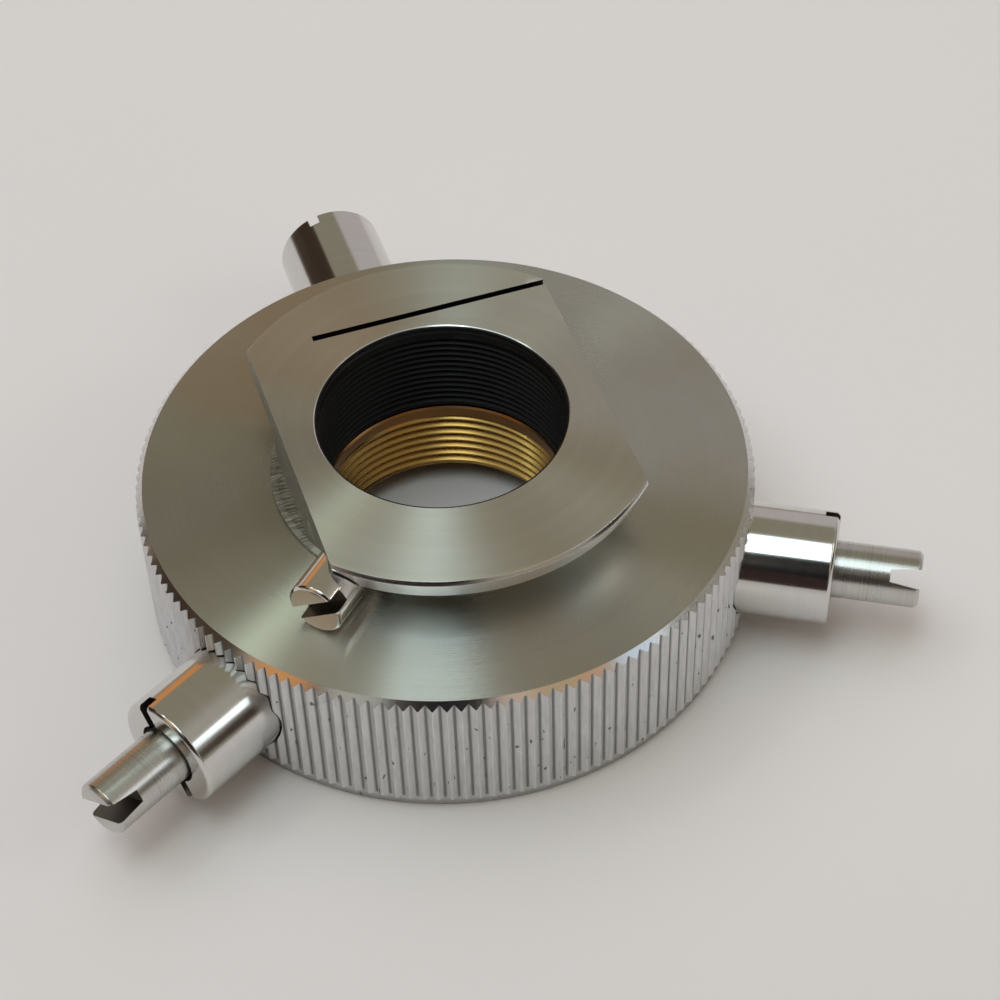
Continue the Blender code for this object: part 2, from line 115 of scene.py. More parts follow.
def softened(outline, radius=0.08):
    """Round the corners of a closed outline of (radius, height) points that lie off the axis."""
    result = []
    count = len(outline)
    for i, (r, z) in enumerate(outline):
        if r == 0:
            result.append((r, z))
            continue
        here = Vector((r, z))
        before = Vector(outline[i - 1]) - here
        after = Vector(outline[(i + 1) % count]) - here
        reach = min(radius, 0.4 * before.length, 0.4 * after.length)
        start = here + before.normalized() * reach
        end = here + after.normalized() * reach
        result += [tuple(start), tuple(0.25 * start + 0.5 * here + 0.25 * end), tuple(end)]
    return result


def turned(name, outline, sides):
    """Spin a closed outline in millimetres round Z."""
    bm = bmesh.new()
    points = [bm.verts.new((r * MM, 0, z * MM)) for r, z in outline]
    edges = [bm.edges.new((a, b)) for a, b in zip(points, points[1:] + points[:1])
             if a.co.x > 0 or b.co.x > 0]
    bmesh.ops.spin(bm, geom=points + edges, cent=(0, 0, 0), axis=(0, 0, 1),
                   angle=math.tau, steps=sides, use_duplicate=False)
    bmesh.ops.remove_doubles(bm, verts=bm.verts, dist=1e-7)
    return new_object(name, bm)


def wedge_block(low, high, low_half_width, high_half_width, half_length):
    """Make a bar along Y whose width changes from its low end to its high end."""
    bm = bmesh.new()
    bmesh.ops.create_cube(bm, size=1.0)
    for v in bm.verts:
        upper = v.co.z > 0
        half = high_half_width if upper else low_half_width
        v.co = (math.copysign(half, v.co.x) * MM, math.copysign(half_length, v.co.y) * MM,
                (high if upper else low) * MM)
    return new_object("cutter", bm)


def box_between(low, high):
    """A box-shaped cutter between two corners."""
    bm = bmesh.new()
    bmesh.ops.create_cube(bm, size=1.0)
    for v in bm.verts:
        v.co = [(low[i] + (v.co[i] + 0.5) * (high[i] - low[i])) * MM for i in range(3)]
    return new_object("cutter", bm)


def turned_box(low, high, angle):
    """A box-shaped cutter that is turned round the bore's axis by an angle in degrees."""
    cutter = box_between(low, high)
    cutter.matrix_world = Matrix.Rotation(math.radians(angle), 4, "Z")
    return cutter


def hole_cutter(radius, low, high, distance, angle):
    """A cutter for an upright hole at a distance from the bore's axis."""
    cutter = turned("cutter", [(0, low), (radius, low), (radius, high), (0, high)], SMALL_HOLE)
    cutter.location = on_circle(distance, math.radians(angle), 0)
    return cutter


def radial(angle, height):
    """The placement that points Z outwards from the bore's axis."""
    return (Matrix.Translation((0, 0, height * MM)) @ Matrix.Rotation(math.radians(angle), 4, "Z")
            @ Matrix.Rotation(math.radians(90), 4, "Y"))


def cut(thing, *tools, rounding=0.0):
    """Cut the tools out of a mesh, round the new edges, and leave no modifier or tool behind."""
    for tool in tools:
        mod = thing.modifiers.new("cut", "BOOLEAN")
        mod.operation = "DIFFERENCE"
        mod.solver = "EXACT"
        mod.object = tool
    if rounding:
        mod = thing.modifiers.new("rounding", "BEVEL")
        mod.width = rounding * MM
        mod.segments = 2
        mod.limit_method = "ANGLE"
        mod.angle_limit = math.radians(50)
    bpy.context.view_layer.update()
    depsgraph = bpy.context.evaluated_depsgraph_get()
    mesh = bpy.data.meshes.new_from_object(thing.evaluated_get(depsgraph))
    thing.modifiers.clear()
    thing.data = mesh
    for tool in tools:
        bpy.data.objects.remove(tool)


def finish_piece(thing, body, node, materials, rule=None):
    """Shade a mesh, give each face its material, put it round the bore's axis, and let it ride.

    The rule takes a face's centre in millimetres and its normal, and returns one of the materials.
    """
    mesh = thing.data
    mesh.shade_smooth()
    mesh.set_sharp_from_angle(angle=math.radians(35))
    mesh.materials.clear()
    for mat in materials:
        mesh.materials.append(mat)
    for face in mesh.polygons:
        face.material_index = materials.index(rule(face.center / MM, face.normal)) if rule else 0
    mesh.use_auto_texspace = False
    mesh.texspace_location = (0, 0, 0)
    mesh.texspace_size = (0.05, 0.05, 0.05)
    weighting = thing.modifiers.new("weighted_normals", "WEIGHTED_NORMAL")
    weighting.keep_sharp = True
    weighting.weight = 100
    thing.matrix_world = Matrix.Translation((0, AXIS_Y, 0)) @ thing.matrix_world
    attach(thing, body)
    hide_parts(node)


# ---------------------------------------------------------------- materials

class Nodes:
    """A short way to write a material's nodes."""

    def __init__(self, name):
        self.mat = bpy.data.materials.new(name)
        self.mat.use_nodes = True
        self.tree = self.mat.node_tree
        self.shader = self.tree.nodes["Principled BSDF"]

    def add(self, kind, **values):
        node = self.tree.nodes.new(kind)
        for key, value in values.items():
            setattr(node, key, value)
        return node

    def link(self, source, target):
        self.tree.links.new(source, target)

    def feed(self, value, socket):
        """Set a socket to a plain value, or link it to another socket."""
        if isinstance(value, (int, float, tuple)):
            socket.default_value = value
        else:
            self.link(value, socket)

    def math(self, operation, a, b=0.0):
        node = self.add("ShaderNodeMath", operation=operation)
        for value, socket in zip((a, b), node.inputs):
            self.feed(value, socket)
        return node.outputs[0]

    def vector(self, operation, *values):
        node = self.add("ShaderNodeVectorMath", operation=operation)
        for value, socket in zip(values, node.inputs):
            self.feed(value, socket)
        return node.outputs[0]

    def place(self, centre=(0, 0, 0)):
        """Object coordinates from the turning axis: the point, its radius and its height."""
        coords = self.add("ShaderNodeTexCoord")
        point = self.vector("SUBTRACT", coords.outputs["Object"], centre)
        split = self.add("ShaderNodeSeparateXYZ")
        self.link(point, split.inputs[0])
        x, y, z = split.outputs
        radius = self.math("SQRT", self.math("ADD", self.math("MULTIPLY", x, x),
                                             self.math("MULTIPLY", y, y)))
        return point, radius, z

    def noise(self, vector, scale, detail, roughness):
        node = self.add("ShaderNodeTexNoise")
        node.inputs["Scale"].default_value = scale
        node.inputs["Detail"].default_value = detail
        node.inputs["Roughness"].default_value = roughness
        self.link(vector, node.inputs["Vector"])
        return node.outputs["Fac"]

    def ramp(self, value, low, high, to_low=0.0, to_high=1.0):
        node = self.add("ShaderNodeMapRange")
        node.inputs["From Min"].default_value = low
        node.inputs["From Max"].default_value = high
        node.inputs["To Min"].default_value = to_low
        node.inputs["To Max"].default_value = to_high
        self.link(value, node.inputs["Value"])
        return node.outputs["Result"]

    def blend(self, share, low, high):
        """Mix two colours; each is a colour or a socket."""
        node = self.add("ShaderNodeMix", data_type="RGBA")
        self.link(share, node.inputs["Factor"])
        for value, socket in zip((low, high), (node.inputs[6], node.inputs[7])):
            self.feed((*value, 1.0) if isinstance(value, tuple) else value, socket)
        return node.outputs[2]

    def rings(self, radius, height, scale):
        """Noise that is the same all the way round, as turning marks are."""
        join = self.add("ShaderNodeCombineXYZ")
        self.link(radius, join.inputs[0])
        self.link(height, join.inputs[1])
        return self.noise(join.outputs[0], scale, 4.0, 0.7)

    def bump(self, height, depth, strength=1.0, below=None):
        """Raise the surface by a height of up to depth millimetres, on top of another bump."""
        node = self.add("ShaderNodeBump")
        node.inputs["Distance"].default_value = depth * MM
        node.inputs["Strength"].default_value = strength
        self.link(height, node.inputs["Height"])
        if below:
            self.link(below, node.inputs["Normal"])
        return node.outputs[0]

    def finish(self, colour, roughness, normal, metallic):
        """Feed the shader and return the material."""
        inputs = self.shader.inputs
        self.link(colour, inputs["Base Color"])
        self.feed(roughness, inputs["Roughness"])
        self.link(normal, inputs["Normal"])
        inputs["Metallic"].default_value = metallic
        return self.mat


def times(colour, factor):
    return tuple(c * factor for c in colour)


def leaning_normal(n, point, lean):
    """The tool leaves grooves with one long flank, so the surface leans outwards a little."""
    outwards = n.vector("NORMALIZE", n.vector("MULTIPLY", point, (1, 1, 0)))
    surface = n.add("ShaderNodeNewGeometry")
    leaning = n.vector("ADD", surface.outputs["Normal"],
                       n.vector("MULTIPLY", outwards, (lean, lean, lean)))
    return n.vector("NORMALIZE", leaning)


def turned_metal(name, colour, roughness, anisotropy, marks=0.35, mark_depth=0.004, lean=0.0,
                 centre=(0, 0, 0)):
    """Metal with concentric tool marks and faint stains; marks says how dark the grooves are."""
    fine_scale, coarse_scale = 9000.0, 1300.0
    red_stain, green_stain, blue_stain = 0.928, 0.88, 0.808
    n = Nodes(name)
    point, radius, height = n.place(centre)
    fine = n.rings(radius, height, fine_scale)
    coarse = n.rings(radius, height, coarse_scale)
    ring = n.math("ADD", n.math("MULTIPLY", fine, 0.6), n.math("MULTIPLY", coarse, 0.4))
    blotch = n.noise(point, 90.0, 4.0, 0.6)
    stained = (colour[0] * red_stain, colour[1] * green_stain, colour[2] * blue_stain)
    shade = n.blend(n.ramp(ring, 0.35, 0.6), times(colour, 1 - marks), colour)
    shade = n.blend(n.ramp(blotch, 0.45, 0.75, 0.0, 0.8), shade, stained)
    mixed = n.math("ADD", n.math("MULTIPLY", ring, 0.5), n.math("MULTIPLY", blotch, 0.5))
    rough = n.ramp(mixed, 0.3, 0.7, roughness * 0.85, roughness * 1.2)
    below = leaning_normal(n, point, lean) if lean else None
    if anisotropy:
        n.shader.inputs["Anisotropic"].default_value = anisotropy
        n.shader.inputs["Anisotropic Rotation"].default_value = 0.25
        tangent = n.add("ShaderNodeTangent", direction_type="RADIAL", axis="Z")
        n.link(tangent.outputs[0], n.shader.inputs["Tangent"])
    return n.finish(shade, rough, n.bump(ring, mark_depth, 1.0, below), 1.0)


def milled_metal(name, colour):
    """Steel with straight cutter marks across it."""
    n = Nodes(name)
    point, _, _ = n.place()
    lines = n.noise(n.vector("MULTIPLY", point, (0.12, 1.0, 0.3)), 5200.0, 2.0, 0.5)
    line = n.ramp(lines, 0.42, 0.62)
    return n.finish(n.blend(line, times(colour, 0.5), colour), n.ramp(lines, 0.3, 0.7, 0.35, 0.5),
                    n.bump(line, 0.012), 1.0)


def knurl_metal(name, colour):
    """Plated teeth: satin, with fine vertical streaks and dark pits, and painted shade in the grooves
    between the teeth and on the low lip.
    """
    # The first colour is painted shade for the root grooves and the low lip; the second is the pits'
    # own dark.
    painted_shade, pit_colour = times(colour, 0.35), times(colour, 0.28)
    n = Nodes(name)
    point, radius, height = n.place()
    streaks = n.noise(n.vector("MULTIPLY", point, (1.0, 1.0, 0.12)), 3500.0, 3.0, 0.6)
    grain = n.noise(point, 2200.0, 3.0, 0.7)
    spots = n.noise(n.vector("MULTIPLY", point, (1.0, 1.0, 0.5)), 2500.0, 0.0, 0.4)
    pit = n.ramp(spots, 0.785, 0.83)
    root_groove_share = n.ramp(radius, (TOOTH_ROOT_R + 0.09) * MM, (TOOTH_ROOT_R + 0.01) * MM)
    toothed = n.ramp(height, (TEETH_LOW - 0.2) * MM, (TEETH_LOW + 0.1) * MM)
    lip_shade_share = n.ramp(height, 1.0 * MM, 0.4 * MM, 0.0, 0.6)
    shade = n.blend(n.ramp(streaks, 0.35, 0.65), times(colour, 0.86), colour)
    # Painted shade: the grooves at the teeth's roots are darkened.
    shade = n.blend(n.math("MULTIPLY", root_groove_share, toothed), shade, painted_shade)
    # Painted shade: darker towards the bottom lip, where it meets the floor.
    shade = n.blend(lip_shade_share, shade, painted_shade)
    shade = n.blend(pit, shade, pit_colour)
    rough = n.bump(n.math("ADD", streaks, grain), 0.012)
    pitted = n.bump(n.math("SUBTRACT", 1.0, pit), 0.08, 1.0, rough)
    return n.finish(shade, n.ramp(grain, 0.3, 0.7, 0.36, 0.48), pitted, 1.0)


def black_coat_and_painted_shade(name):
    """Matt black inside the bore, its crests painted a little lighter as a painted highlight."""
    black, dusty, crest_highlight = (0.003, 0.003, 0.004), (0.012, 0.012, 0.013), (0.015, 0.015, 0.016)
    n = Nodes(name)
    point, radius, _ = n.place()
    dust = n.noise(point, 700.0, 4.0, 0.7)
    crest = n.ramp(radius, (BORE_R + 0.05) * MM, (BORE_R - 0.02) * MM)
    shade = n.blend(n.math("MULTIPLY", n.ramp(dust, 0.45, 0.8), 0.5), black, dusty)
    # Painted highlight: the thread crests are a little lighter.
    shade = n.blend(n.math("MULTIPLY", crest, 0.4), shade, crest_highlight)
    n.shader.inputs["Specular IOR Level"].default_value = 0.22
    return n.finish(shade, n.ramp(dust, 0.3, 0.7, 0.42, 0.55), n.bump(dust, 0.006), 0.0)


def floor_paper(name):
    """Pale paper with a faint cloud and a fine grain."""
    n = Nodes(name)
    point, _, _ = n.place()
    cloud = n.noise(point, 9.0, 3.0, 0.5)
    fibre = n.noise(point, 900.0, 4.0, 0.7)
    shade = n.blend(cloud, (0.80, 0.76, 0.74), (0.84, 0.80, 0.775))
    n.shader.inputs["Specular IOR Level"].default_value = 0.25
    return n.finish(shade, 0.75, n.bump(fibre, 0.03, 0.5), 0.0)


STEEL = (0.60, 0.60, 0.56)
BRIGHT = (0.74, 0.74, 0.74)
GREY_STEEL = (0.64, 0.64, 0.63)
BRASS = (0.50, 0.31, 0.095)
CAD_CENTRE = (0, AXIS_Y, 0)        # a CAD mesh keeps its place, so its turning axis is off zero

FACE = turned_metal("turned_face", STEEL, 0.28, 1.0, marks=0.10, mark_depth=0.0015, lean=0.12)
PLATE_FACE = turned_metal("turned_plate", (0.66, 0.65, 0.60), 0.38, 0.9, marks=0.10, lean=0.12)
# Painted reflection: the dovetail cone's colour is raised well past the steel's own, to make its band
# look bright.
CONE = turned_metal("dovetail_edge", (0.90, 0.89, 0.90), 0.30, 0.6, marks=0.05)
PLAIN_STEEL = turned_metal("plain_steel", STEEL, 0.36, 0.5)
EDGE = turned_metal("bright_edge", BRIGHT, 0.16, 0.3, marks=0.08)
KNURL = knurl_metal("knurled_rim", (0.74, 0.74, 0.745))
MILLED = milled_metal("milled_ledge", (0.46, 0.45, 0.41))
# Painted shade: slot walls and floors get this dark copy of the steel.
SLOT_SHADE = turned_metal("slot_painted_shade", (0.17, 0.155, 0.13), 0.38, 0.0)
# Painted shade: the smooth band above the brass thread is a darker copy of the brass, for the dark it
# reflects.
SHADED_BRASS_BAND = turned_metal("brass_band_painted_dark", (0.26, 0.13, 0.045), 0.3, 0.5, marks=0.3)
BARREL = turned_metal("barrel_plate", (0.72, 0.715, 0.70), 0.13, 0.5, marks=0.06, mark_depth=0.002)
SCREW = turned_metal("screw_metal", GREY_STEEL, 0.27, 0.6, marks=0.22, mark_depth=0.006)
POLISHED = turned_metal("lock_plate", (0.76, 0.74, 0.71), 0.11, 0.3, marks=0.06, mark_depth=0.003)
BRASS_CUT = turned_metal("cut_brass", BRASS, 0.25, 0.6, marks=0.25, mark_depth=0.004)
# The matt black coats the bore and also serves as painted shade in the flange's slit.
BLACK = black_coat_and_painted_shade("black_coat_and_painted_shade")


# ---------------------------------------------------------------- pieces

def disc_rings():
    """The disc's closed outline as rings, up its outside and down its inside.

    Each ring is a list of (radius, angle, height), with a point for every corner of the teeth.
    """
    pitch = math.tau / TEETH
    corners = ((-0.46, TOOTH_ROOT_R), (-0.045, TOOTH_TIP_R), (0.045, TOOTH_TIP_R),
               (0.46, TOOTH_ROOT_R))
    spokes = [(r, pitch * (tooth + share)) for tooth in range(TEETH) for share, r in corners]
    base_bevel, hole_bevel = 0.12, 0.1

    def level(r, z):
        return [(r, angle, z) for _, angle in spokes]

    return [
        level(RECESS_R, 0.0), level(TOOTH_ROOT_R - base_bevel, 0.0),
        level(TOOTH_ROOT_R, base_bevel), level(TOOTH_ROOT_R, DISC_LIP),
        [(r, angle, TEETH_LOW) for r, angle in spokes],
        [(r, angle, DISC_TOP - (r - TOP_EDGE_R)) for r, angle in spokes],
        level(TOP_EDGE_R, DISC_TOP),
        level(TOP_HOLE_R + hole_bevel, DISC_TOP), level(TOP_HOLE_R, DISC_TOP - hole_bevel),
        level(TOP_HOLE_R, CEILING_Z), level(CAVITY_R, CEILING_Z), level(CAVITY_R, RECESS_Z),
        level(RECESS_R, RECESS_Z),
    ]


def make_housing():
    bm = bmesh.new()
    rings = [[bm.verts.new(on_circle(*point)) for point in ring] for ring in disc_rings()]
    for low, high in zip(rings, rings[1:] + rings[:1]):
        for i in range(len(low)):
            j = (i + 1) % len(low)
            bm.faces.new((low[i], low[j], high[j], high[i]))
    twisted = [f for f in bm.faces if f.calc_center_median().xy.length > TOP_EDGE_R * MM]
    bmesh.ops.triangulate(bm, faces=twisted)
    disc = new_object("housing_shell", bm)

    shank_hole_in, outside = 17.3, 27
    seat = BARREL_SEAT - HAIR
    tools = []
    for angle in (LEFT, RIGHT, REAR):
        tool = turned("cutter", [
            (0, shank_hole_in), (SHANK_R + 0.3, shank_hole_in), (SHANK_R + 0.3, seat),
            (BARREL_R + HAIR, seat), (BARREL_R + HAIR, outside), (0, outside),
        ], HOLE)
        tool.matrix_world = radial(angle, AXIS_Z)
        tools.append(tool)
    for angle in FASTENER_ANGLES:
        base_screw = hole_cutter(1.1, REACH, 7.0, BASE_SCREW_CIRCLE, angle)
        flange_screw_head = hole_cutter(1.25, 9.5, 11.3, FLANGE_SCREW_CIRCLE, angle)
        flange_screw_shank = hole_cutter(0.85, 11.2, 13.5, FLANGE_SCREW_CIRCLE, angle)
        tools += [base_screw, flange_screw_head, flange_screw_shank]
    cut(disc, *tools)

    def rule(centre, normal):
        radius = centre.xy.length
        if centre.z > DISC_TOP - 0.01 and normal.z > 0.9:
            return FACE
        if radius > TOP_EDGE_R - 0.1 and normal.z > 0.5 and centre.z > DISC_TOP - 1:
            return EDGE
        return KNURL if radius > TOP_EDGE_R - 0.3 else PLAIN_STEEL

    finish_piece(disc, "mount", "housing", [PLAIN_STEEL, FACE, EDGE, KNURL], rule)


def make_flange():
    plate = turned("dovetail_plate", softened([
        (TOP_HOLE_R, FOOT_LOW), (FOOT_R, FOOT_LOW), (FOOT_R, FOOT_TOP), (NECK_R, FOOT_TOP),
        (NECK_R, NECK_TOP), (17.4, NECK_TOP), (18.23, 18.44), (18.01, FLANGE_TOP),
        (10.42, FLANGE_TOP), (10.36, 18.7), (MOUTH_R, 18.63), (MOUTH_R, MOUTH_LOW),
        (TOP_HOLE_R, MOUTH_LOW),
    ], 0.02), PLATE)
    above, beyond, along = 19.5, 20, 19
    ledge = FOOT_TOP + 0.02
    lock_hole = turned("cutter", [
        (0, 10.9), (1.6, 10.9), (1.6, 14.5), (2.55, 14.5), (2.55, 21), (0, 21),
    ], HOLE)
    lock_hole.matrix_world = radial(LOCK, LOCK_Z)
    tools = [
        box_between((-beyond, -along, ledge), (-FLAT_X, along, above)),
        box_between((FLAT_X, -along, ledge), (beyond, along, above)),
        box_between((SLIT_END_X, SLIT_Y - SLIT_HALF, SLIT_FLOOR), (beyond, SLIT_Y + SLIT_HALF, above)),
        lock_hole,
    ]
    tools += [hole_cutter(0.85, 12.5, 15.3, FLANGE_SCREW_CIRCLE, angle) for angle in FASTENER_ANGLES]
    cut(plate, *tools, rounding=0.03)

    def rule(centre, normal):
        radius = centre.xy.length
        if radius < 10.34 and 18.0 < centre.z < FLANGE_TOP - 0.04:
            return BLACK
        # Painted shade: the slit's walls and floor get the matt black, for the shade down the narrow
        # slit.
        facing_slit = abs(normal.y) > 0.95 or normal.z > 0.9
        if abs(centre.y - SLIT_Y) < SLIT_HALF + 0.05 and facing_slit and centre.z < FLANGE_TOP - 0.05:
            return BLACK
        if centre.z > FLANGE_TOP - 0.02 and normal.z > 0.9:
            return PLATE_FACE
        if abs(centre.x) > FLAT_X - 0.1 and centre.z < FOOT_TOP + 0.2 and normal.z > 0.5:
            return MILLED
        # The cone gets the brightened steel, a painted reflection.
        if radius > 16.0 and normal.z < 0.2:
            return CONE
        return EDGE if radius > 16.0 or radius < 10.5 else PLAIN_STEEL

    finish_piece(plate, "mount", "dovetail_flange",
                 [PLAIN_STEEL, PLATE_FACE, EDGE, BLACK, MILLED, CONE], rule)


def threaded_tube(name, bottom, top, thread_low, thread_high, pitch, depth, outside):
    """Make a tube with a helical thread in its bore.

    The thread's rows climb with the angle, and those past its ends lie on top of each other there.
    The outside is the rest of the outline, from the top down.
    """
    sides = 144
    groove = (0.0, 0.0, 0.5, 1.0, 1.0, 0.5)    # how deep it is along one pitch
    rows = len(groove)
    last = rows * (int((thread_high - thread_low) / pitch) + 2)
    runout, low_bevel, high_bevel = 0.3, 0.12, 0.15
    bm = bmesh.new()
    columns = []
    for i in range(sides + 1):
        turn = i / sides
        outline = [(BORE_R + low_bevel, bottom), (BORE_R, bottom + low_bevel)]
        for j in range(-rows, last + 1):
            z = min(max(thread_low + pitch * (j / rows + turn), thread_low), thread_high)
            share = min(1.0, (z - thread_low) / runout, (thread_high - z) / runout)
            outline.append((BORE_R + groove[j % rows] * depth * max(share, 0.0), z))
        outline += [(BORE_R, top - high_bevel), (BORE_R + high_bevel, top)] + outside
        columns.append([bm.verts.new(on_circle(r, math.tau * turn, z)) for r, z in outline])
    for a, b in zip(columns, columns[1:]):
        for k in range(len(a)):
            m = (k + 1) % len(a)
            bm.faces.new((a[k], b[k], b[m], a[m]))
    bmesh.ops.remove_doubles(bm, verts=bm.verts, dist=2e-6)
    bmesh.ops.dissolve_degenerate(bm, edges=bm.edges, dist=1e-6)
    return new_object(name, bm)


def make_sleeve():
    sleeve = threaded_tube("black_thread_sleeve", SLEEVE_LOW, SLEEVE_TOP, 9.8, 17.5, 0.615, 0.36,
                           [(SLEEVE_R, SLEEVE_TOP), (SLEEVE_R, SLEEVE_LOW)])
    finish_piece(sleeve, "mount", "threaded_sleeve", [BLACK])


def make_ring():
    ring = threaded_tube("brass_centring_ring", RING_LOW, RING_TOP, 2.3, BRASS_THREAD_TOP, 0.86, 0.5,
                         [(RING_R, RING_TOP), (RING_R, SPIGOT_TOP), (SPIGOT_R, SPIGOT_TOP),
                          (SPIGOT_R, RING_LOW)])
    thrust_faces = [turned_box((15.6, -8.1, 0), (17, 8.1, 13), angle) for angle in (LEFT, RIGHT, REAR)]
    keyways = [turned_box((12.3, -1.8, 2.8), (17, 1.8, 4.2), angle) for angle in KEYWAY_ANGLES]
    cut(ring, *thrust_faces, *keyways)

    def rule(centre, normal):
        # The smooth band above the thread gets the darker brass as painted shade.
        above_thread = centre.z > BRASS_THREAD_TOP - 0.1 and centre.xy.length < 10.5
        return SHADED_BRASS_BAND if above_thread else BRASS_CUT

    finish_piece(ring, "ring", "centring_ring", [BRASS_CUT, SHADED_BRASS_BAND], rule)


def end_slot(floor_width, mouth_width, depth, end, radius):
    """The cutter for a slot across a screw's or barrel's outer end."""
    slope = (mouth_width - floor_width) / depth / 2
    return wedge_block(end - depth, end + REACH, floor_width / 2,
                       mouth_width / 2 + slope * REACH, radius + REACH)


def radial_piece(node, name, outline, slot_cut, angle, height, body, materials, rule=None):
    """Make a turned piece that points outwards, with a slot across its outer end."""
    piece = turned(name, softened(outline), TURNED_PART)
    twist = math.radians(SLOT_TURN[node])
    tool = end_slot(*slot_cut)
    tool.matrix_world = Matrix.Rotation(twist, 4, "Z")
    cut(piece, tool, rounding=0.05)
    piece.matrix_world = radial(angle, height)
    _, mouth_width, depth, end, _ = slot_cut

    def with_slot(centre, normal):
        across = centre.x * math.cos(twist) + centre.y * math.sin(twist)
        # Faces inside the slot get the painted slot shade.
        if abs(across) < mouth_width / 2 + 0.02 and end - depth - 0.02 < centre.z < end - 0.07:
            return SLOT_SHADE
        return rule(centre, normal) if rule else materials[0]

    finish_piece(piece, body, node, [*materials, SLOT_SHADE], with_slot)


def make_barrel(label, angle, end):
    bevel, end_wall = 0.25, 2.9
    outline = [(SHANK_R, SHANK_IN), (SHANK_R, BARREL_SEAT), (BARREL_R, BARREL_SEAT),
               (BARREL_R, end - bevel), (BARREL_R - bevel, end)]
    if label == "plunger":
        outline += [(0, end), (0, end - end_wall), (BARREL_BORE_R, end - end_wall),
                    (BARREL_BORE_R, SHANK_IN)]
    else:
        outline += [(BARREL_BORE_R, end), (BARREL_BORE_R, SHANK_IN)]

    def rule(centre, normal):
        in_bore = centre.xy.length < BARREL_BORE_R + 0.02 and abs(normal.z) < 0.5
        return PLAIN_STEEL if in_bore else BARREL

    radial_piece(f"{label}_barrel", f"{label}_barrel_shell", outline, (1.0, 1.0, 1.2, end, BARREL_R),
                 angle, AXIS_Z, "mount", [BARREL, PLAIN_STEEL], rule)


def make_screw(label, angle):
    bevel = 0.3
    outline = [(0, SCREW_IN), (SCREW_R - bevel, SCREW_IN), (SCREW_R, SCREW_IN + bevel),
               (SCREW_R, SCREW_TIP - bevel), (SCREW_R - bevel, SCREW_TIP), (0, SCREW_TIP)]
    radial_piece(f"{label}_screw", f"{label}_adjusting_screw", outline,
                 (1.05, 1.7, 2.5, SCREW_TIP, SCREW_R), angle, AXIS_Z, f"{label}_adjuster",
                 [SCREW])


def make_lock():
    bevel = 0.2
    outline = [(0, LOCK_PIN_IN), (LOCK_PIN_R, LOCK_PIN_IN), (LOCK_PIN_R, LOCK_SHOULDER),
               (LOCK_R, LOCK_SHOULDER), (LOCK_R, LOCK_TIP - bevel), (LOCK_R - bevel, LOCK_TIP),
               (0, LOCK_TIP)]
    radial_piece("lock_screw", "slotted_lock_screw", outline, (1.1, 1.2, 1.4, LOCK_TIP, LOCK_R),
                 LOCK, LOCK_Z, "lock", [POLISHED])


def dress_inner_nodes():
    """The CAD pieces that stay get materials whose marks run round the bore's axis."""
    steel = turned_metal("base_steel", STEEL, 0.34, 0.8, centre=CAD_CENTRE)
    plated = turned_metal("washer_steel", GREY_STEEL, 0.3, 0.4, centre=CAD_CENTRE)
    fastener = turned_metal("fastener_steel", GREY_STEEL, 0.28, 0.0, marks=0.2, centre=CAD_CENTRE)
    brass = turned_metal("pad_brass", BRASS, 0.3, 0.0, centre=CAD_CENTRE)
    wire = turned_metal("spring_wire", (0.42, 0.42, 0.42), 0.3, 0.0, centre=CAD_CENTRE)
    finishes = {"base_ring": steel, "slide_washer": plated, "plunger_pin": fastener,
                "left_pad": brass, "right_pad": brass, "lock_slug": brass, "plunger_spring": wire}
    for i in range(1, 4):
        finishes[f"base_screw_{i}"] = fastener
        finishes[f"flange_screw_{i}"] = fastener
    for node, mat in finishes.items():
        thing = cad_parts[node]
        if thing.material_slots:
            for holder in thing.material_slots:
                holder.material = mat
        else:
            thing.data.materials.append(mat)


# ---------------------------------------------------------------- camera, floor and light

MIDDLE = Vector((0, AXIS_Y, 0.012))    # what the lights point at


def compass(azimuth, elevation):
    """The direction to a place: azimuth anticlockwise from +X, both in degrees."""
    a, e = math.radians(azimuth), math.radians(elevation)
    return Vector((math.cos(a) * math.cos(e), math.sin(a) * math.cos(e), math.sin(e)))


def make_camera():
    """Look from the front, a little to the left; the picture's middle is off the bore's foot."""
    azimuth, elevation, roll, distance = -17.2, 47.362, -2.017, 216.22
    aim_right, aim_up = 4.263, 5.676
    back = compass(azimuth - 90, elevation)
    level = (-back).to_track_quat("-Z", "Y").to_matrix().to_4x4()
    turn = level @ Matrix.Rotation(math.radians(roll), 4, "Z")
    right, up = turn.col[0].xyz, turn.col[1].xyz
    aim = Vector((0, AXIS_Y, 0)) + (aim_right * right + aim_up * up) * MM
    data = bpy.data.cameras.new("camera")
    data.lens = 90
    data.sensor_width = 36
    data.clip_start = 0.01
    data.clip_end = 50
    camera = bpy.data.objects.new("camera", data)
    camera.matrix_world = Matrix.Translation(aim + distance * MM * back) @ turn
    bpy.context.scene.collection.objects.link(camera)
    bpy.context.scene.camera = camera


def make_floor():
    radius, gap_below = 3.0, 0.02 * MM
    bm = bmesh.new()
    bmesh.ops.create_circle(bm, cap_ends=True, radius=radius, segments=96)
    floor = new_object("floor", bm)
    floor.location.z = -gap_below
    floor.data.materials.append(floor_paper("floor_paper"))


def facing_in(direction, distance):
    """The placement of a panel that faces the object from a distance in metres."""
    aim = direction.to_track_quat("Z", "Y").to_matrix().to_4x4()
    return Matrix.Translation(MIDDLE + direction * distance) @ aim


